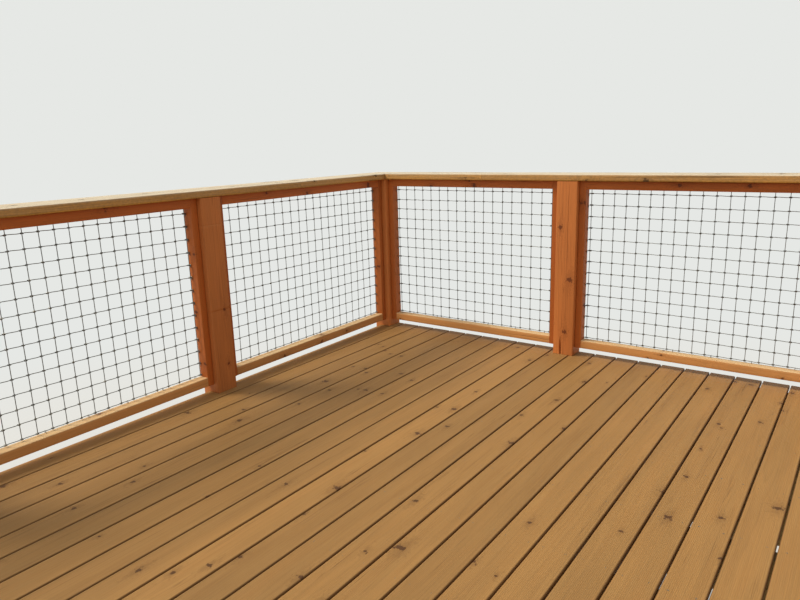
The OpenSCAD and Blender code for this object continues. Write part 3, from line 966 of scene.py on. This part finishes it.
# %% [markdown]
# ## Square netting
#
# The netting is woven fencing: line wires run level, and stay wires run up and down. At every crossing a
# short wire is wound round both in a tight knot, which reads as a dark dot. At the ends of a panel the line
# wire is wound back round the last stay, so those knots are longer. Curve objects with a round bevel could
# be the wires, but there would be hundreds of them to turn into meshes. So a wire is a ring carried along a
# path, and all the wires of one kind are made at once, as one array of paths.

# %% Ring carried along paths
def tubes(paths, radius, sides, across):
    """paths is (wires, points, 3). Ring point k of path point p is p + radius (cos t n + sin t m), where n is
    across made square to the path, and m stands square to both. A face closes each end."""
    tangent = np.gradient(paths, axis=1)
    tangent /= np.linalg.norm(tangent, axis=2, keepdims=True)
    n = across - tangent * np.sum(across * tangent, axis=2, keepdims=True)
    n /= np.linalg.norm(n, axis=2, keepdims=True)
    m = np.cross(tangent, n)
    t = np.linspace(0, 2 * np.pi, sides, endpoint=False)[:, None]
    points = paths[:, :, None] + radius * (np.cos(t) * n[:, :, None] + np.sin(t) * m[:, :, None])
    wires, count = paths.shape[:2]
    k = np.arange(sides)
    first = np.arange(wires)[:, None] * count * sides
    ends = [first + k[::-1], first + (count - 1) * sides + k]
    return {"points": points.reshape(-1, 3), "faces": [skin(count, sides, wires)] + ends}


# %% Where the wires run
def lattice(node, run):
    """Middles of the stay and the line wires, and the netting's box. Both faces of a wire give a coordinate,
    and the lowest and highest coordinate are the ends of the wires that cross it."""
    points = corners(node)[0]
    across, height = (np.unique(np.round(points[:, k], 4))[1:-1] for k in (run, 2))
    return (across[0::2] + across[1::2]) / 2, (height[0::2] + height[1::2]) / 2, points.min(0), points.max(0)


# %% [markdown]
# Real wire is never straight. The line wires sag and are crimped between the stays, and the stays lean. Both
# are slow sines with their own phase for each wire, and the knots are put where the two curves meet.

# %% Curves of one panel's wires
WIRE_R = 0.0020
SAG, CRIMP, LEAN = 0.0024, 0.0009, 0.0022


class Panel:
    """Height of line wire j at t: z_j + a_j sin(2.4 t + p_j) + CRIMP sin(2 pi t / pitch), with a_j up to SAG.
    Stay i at height z stands at t_i + b_i sin(5 z + q_i), with b_i up to LEAN."""

    def __init__(self, node, run, outward):
        self.run, self.outward = run, outward
        self.stay, self.line, self.lo, self.hi = lattice(node, run)
        self.depth = (self.lo + self.hi)[1 - run] / 2
        self.pitch = self.stay[1] - self.stay[0]
        self.sag = rng.uniform(-SAG, SAG, len(self.line))
        self.lean = rng.uniform(-LEAN, LEAN, len(self.stay))
        self.line_phase = rng.uniform(0, 2 * np.pi, len(self.line))
        self.stay_phase = rng.uniform(0, 2 * np.pi, len(self.stay))

    def line_z(self, j, t):
        crimp = CRIMP * np.sin(2 * np.pi * (t - self.stay[0]) / self.pitch)
        return self.line[j] + self.sag[j] * np.sin(2.4 * (t - self.lo[self.run]) + self.line_phase[j]) + crimp

    def stay_t(self, i, z):
        return self.stay[i] + self.lean[i] * np.sin(5 * (z - self.lo[2]) + self.stay_phase[i])

    def at(self, t, z, out):
        """Point of the panel: t along the bay, z up, out towards the outside."""
        t, z, out = np.broadcast_arrays(t, z, out)
        point = np.stack([t, t, z], -1).astype(float)
        point[..., 1 - self.run] = self.depth + self.outward * out
        return point


# %% Line wires and stays
HOOK = 0.016  # how far a line wire's end runs down the upright
BEND = 0.004  # where its bend begins
STAY_BELOW, STAY_SHORT = 0.006, 0.001


def long_wires(panel):
    """Line wires run from upright to upright and bend down along it at both ends by HOOK, the lowest one by
    half of it. Stays run from just under the lowest line wire to the top piece, on the inner side of the line
    wires."""
    start, stop = panel.lo[panel.run], panel.hi[panel.run]
    t = np.linspace(start + BEND, stop - BEND, 4 * len(panel.stay))
    j = np.arange(len(panel.line))[:, None]
    z = panel.line_z(j, t[None])
    bend = np.array([0.35, 0.75, 1.0])
    reach = np.where(j == 0, 0.5, 1.0) * HOOK * bend
    aside = WIRE_R + BEND / 2 * (1 - bend) ** 2
    t = np.concatenate([start + aside[::-1], t, stop - aside])
    z = np.concatenate([z[:, :1] - reach[:, ::-1], z, z[:, -1:] - reach], 1)
    i = np.arange(len(panel.stay))[:, None]
    height = np.linspace(panel.line[0] - STAY_BELOW, panel.hi[2] - STAY_SHORT, 2 * len(panel.line))
    paths = panel.at(t, z, 0.0), panel.at(panel.stay_t(i, height), height, -WIRE_R)
    return [tubes(path, WIRE_R, 6, panel.outward * np.eye(3)[1 - panel.run]) for path in paths]


# %% Knots
KNOT_STEP = 2.2 * WIRE_R


def knots_of(panel, stays, turns):
    """Each knot is a screw round the line wire: with u from 0 to 1 it turns by 2 pi turns u at the distance
    of both radii, and moves on by KNOT_STEP, a little more than the wire's thickness, for each turn."""
    i, j = (g.ravel()[:, None] for g in np.meshgrid(stays, np.arange(len(panel.line))))
    z = panel.line[j]
    t = panel.stay_t(i, z)
    z = panel.line_z(j, t)
    u = np.linspace(0, 1, 4 * turns + 1)
    angle = 2 * np.pi * turns * u + rng.uniform(0, 2 * np.pi, i.shape)
    t = panel.stay_t(i, z) + (u - 0.5) * turns * KNOT_STEP
    paths = panel.at(t, z + 2 * WIRE_R * np.cos(angle), 2 * WIRE_R * np.sin(angle))
    return tubes(paths, WIRE_R, 4, np.eye(3)[panel.run])


# %% Staples
STAPLE_R = 0.0012
STAPLE_LEG, STAPLE_WIDE = 0.0044, 0.011
STAPLE_OVER = 0.0008  # from the top of the wire to the middle of the crown
# Two legs, two shoulders and a crown, as shares of the width and of the leg
STAPLE = np.array([[-0.5, -1.0], [-0.5, 0.55], [-0.3, 1.0], [0.3, 1.0], [0.5, 0.55], [0.5, -1.0]])


def staples(panel):
    """A staple is a bent wire through the six points of STAPLE. They hold the bent end of every line wire but
    the lowest on both uprights, and the lowest line wire on the bottom piece between every third pair of
    stays."""
    start, stop = panel.lo[panel.run], panel.hi[panel.run]
    across, leg = STAPLE_WIDE * STAPLE[:, 0], STAPLE[:, 1]
    paths = []
    for edge, inwards in ((start, 1), (stop, -1)):
        z = panel.line_z(np.arange(len(panel.line)), edge + BEND * inwards) - 0.4 * HOOK
        paths.append(panel.at(edge + inwards * STAPLE_LEG * leg, z[1:, None], across))
    t = panel.stay[1:-1:3] + panel.pitch / 2
    top = panel.line_z(0, t) + WIRE_R + STAPLE_OVER
    rise = (top - panel.lo[2])[:, None] * np.where(leg > 0, leg, -0.2)
    paths.append(panel.at(t[:, None], panel.lo[2] + rise, across))
    slant = np.eye(3)[panel.run] + 0.3 * np.eye(3)[1 - panel.run]
    return tubes(np.concatenate(paths), STAPLE_R, 4, slant)


# %% [markdown]
# Wires, screws and bolts are steel under a coat of zinc. New zinc shines, but outdoors it soon dulls, in
# blotches. An even grey would look like paint, so a noise mixes two greys, and one function serves both
# metals.

# %% Dulled zinc
def dulled_zinc(name, dark, light, scale, detail, **values):
    """Zinc that the weather has dulled, in blotches of two greys that are 1/scale metres wide."""
    material, tree, shader = new_material(name, **values)
    place = add(tree, "TexCoord", out="Object")
    bloom = add(tree, "TexNoise", {"Vector": place, "Scale": scale, "Detail": detail})
    zinc = add(tree, "Mix", {0: bloom, 6: linear(dark), 7: linear(light)}, out=2, data_type="RGBA")
    tree.links.new(zinc, shader["Base Color"])
    print(f"{name}: {len(tree.nodes)} nodes")
    return material


# Hot-dip galvanised steel that has stood outdoors: the zinc has dulled from silver to a matt mid grey
galvanised_wire = dulled_zinc(
    "weathered_and_sunlit_galvanised_wire", "#565855", "#8d8f8b", 90.0, 4.0, Metallic=0.7, Roughness=0.5
)

# %% All nine panels
for side, (run, outward) in SIDES.items():
    for name in ("left", "mid", "right") if side == "front" else ("near", "mid", "rear"):
        node = f"{side}_netting_{name}"
        panel = Panel(node, run, outward)
        stays = np.arange(len(panel.stay))
        parts = long_wires(panel) + [knots_of(panel, stays[1:-1], 3), knots_of(panel, stays[[0, -1]], 5)]
        assemble("knotted_" + node, parts + [staples(panel)], galvanised_wire, [node])


# %% [markdown]
# ## Screws and bolts
#
# A screw head and a bolt head are turned shapes: a profile carried round an axis. Hundreds of linked copies
# would fill the scene with objects. So each head is made once, with a few dozen faces, and then stamped at
# all its places as one mesh.

# %% Turned shape and stamping
def turned(profile, sides):
    """A profile point (r, z) gives the ring (r cos t, r sin t, z). A face closes the bottom and another the
    top."""
    t = np.linspace(0, 2 * np.pi, sides, endpoint=False)
    r, z = np.array(profile).T[:, :, None]
    points = np.stack([r * np.cos(t), r * np.sin(t), z + 0 * t], -1).reshape(-1, 3)
    k = np.arange(sides)
    return points, [skin(len(profile), sides), k[None, ::-1], (len(profile) - 1) * sides + k[None]]


def stamped(shape, places, normal):
    """Copies of a turned shape at the places, its axis along normal: the place plus the point times the
    axes."""
    points, faces = shape
    normal = np.array(normal, float)
    side = np.cross([0.3, 0.5, 0.81] if abs(normal[2]) > 0.9 else [0, 0, 1.0], normal)
    side /= np.linalg.norm(side)
    moved = np.array(places, float)[:, None] + points @ np.stack([side, np.cross(normal, side), normal])
    shift = (np.arange(len(places)) * len(points))[:, None, None]
    faces = [(block + shift).reshape(-1, block.shape[1]) for block in faces]
    return {"points": moved.reshape(-1, 3), "faces": faces}


SCREW = turned([(0.0034, -0.0025), (0.0041, -0.0004), (0.0021, -0.0002), (0.0016, -0.0014)], 6)
BOLT = turned([(0.0110, -0.001), (0.0110, 0.0066), (0.0098, 0.0078)], 6)
WASHER = turned([(0.0180, -0.001), (0.0180, 0.0022), (0.0172, 0.0028)], 16)

# %% Zinc-plated fixings
# Zinc-plated steel, dulled: a slightly yellowish grey metal
plated_steel = dulled_zinc(
    "dull_plated_steel", "#6a665a", "#958f80", 60.0, 3.0, Metallic=0.9, Roughness=0.42
)

# %% Deck screws: two to each board over every joist and rim, but none in a notch
FROM_EDGE = 0.026
STRAY_X, STRAY_Y = 0.003, 0.008  # how far a screw may stand off its place
CLEAR_OF_NOTCH, UNDER_POST = 0.01, 0.09
SUNK = 0.0012
beams = solids("joists") + solids("front_rim") + solids("rear_rim")
beam_y = np.array([(lo[1] + hi[1]) / 2 for lo, hi in beams])
rows_x = np.array([x for lo, hi in deck_boxes for x in (lo[0] + FROM_EDGE, hi[0] - FROM_EDGE)])
x, y = (g.ravel() for g in np.meshgrid(rows_x, beam_y))
x = x + rng.uniform(-STRAY_X, STRAY_X, len(x))
y = y + rng.uniform(-STRAY_Y, STRAY_Y, len(y))
free = np.ones(len(x), dtype=bool)
for x0, x1, y0, y1, kind in notches:
    beside = (x < x0 - CLEAR_OF_NOTCH) | (x > x1 + CLEAR_OF_NOTCH)
    free &= beside | (y < y0 - UNDER_POST) | (y > y1 + CLEAR_OF_NOTCH)
screws = np.stack([x, y, np.full(len(x), DECK_TOP - SUNK)], 1)[free]
assemble("deck_screws", [stamped(SCREW, screws, (0, 0, 1))], plated_steel, [])

# %% Cap screws: two into each post and one every half metre into the frames
CAP_TOP = solids("front_cap")[0][1][2]
SUNK_IN_CAP = 0.0015
ASIDE = 0.03  # how far the screws of a post lie from its middle, both ways
INWARDS = 0.2  # how far the outer screws of a bay lie from its ends
post_middles = np.array([(solids(name)[0][0] + solids(name)[0][1])[:2] / 2 for name in POSTS])
frame_middles = []
for side, (run, _) in SIDES.items():
    for lo, hi in solids(f"{side}_top_rails"):
        middle = np.repeat([(lo + hi)[:2] / 2], 3, 0)
        middle[:, run] = np.linspace(lo[run] + INWARDS, hi[run] - INWARDS, 3)
        frame_middles.append(middle)
places = np.concatenate([post_middles - ASIDE, post_middles + ASIDE] + frame_middles)
places = np.column_stack([places, np.full(len(places), CAP_TOP - SUNK_IN_CAP)])
assemble("cap_screws", [stamped(SCREW, places, (0, 0, 1))], plated_steel, [])

# %% Bolts through the tails
WASHER_T = 0.0025
BOLT_DROPS = (0.065, 0.150)  # how far below the boards
BOLT_SHIFTS = (-0.028, 0.028)  # how far from the post's middle


def bolted(places, normal):
    """A washer at each place, and a hexagon head on it."""
    return [stamped(WASHER, places, normal), stamped(BOLT, places + WASHER_T * normal, normal)]


parts = []
for name, sides in POSTS.items():
    lo, hi = solids(name)[0]
    for side in sorted(sides):
        run, outward = SIDES[side]
        normal = np.eye(3)[1 - run] * outward
        places = np.repeat([(lo + hi) / 2], 2, 0)
        places[:, run] += BOLT_SHIFTS
        places[:, 1 - run] = (hi if outward > 0 else lo)[1 - run]
        places[:, 2] = [DECK_TOP - drop for drop in BOLT_DROPS]
        parts += bolted(places, normal)
assemble("tail_bolts", parts, plated_steel, [])

# %% Large screws in the braces
parts = [part for places, normal in brace_screws for part in bolted(places, normal)]
assemble("brace_screws", parts, plated_steel, [])
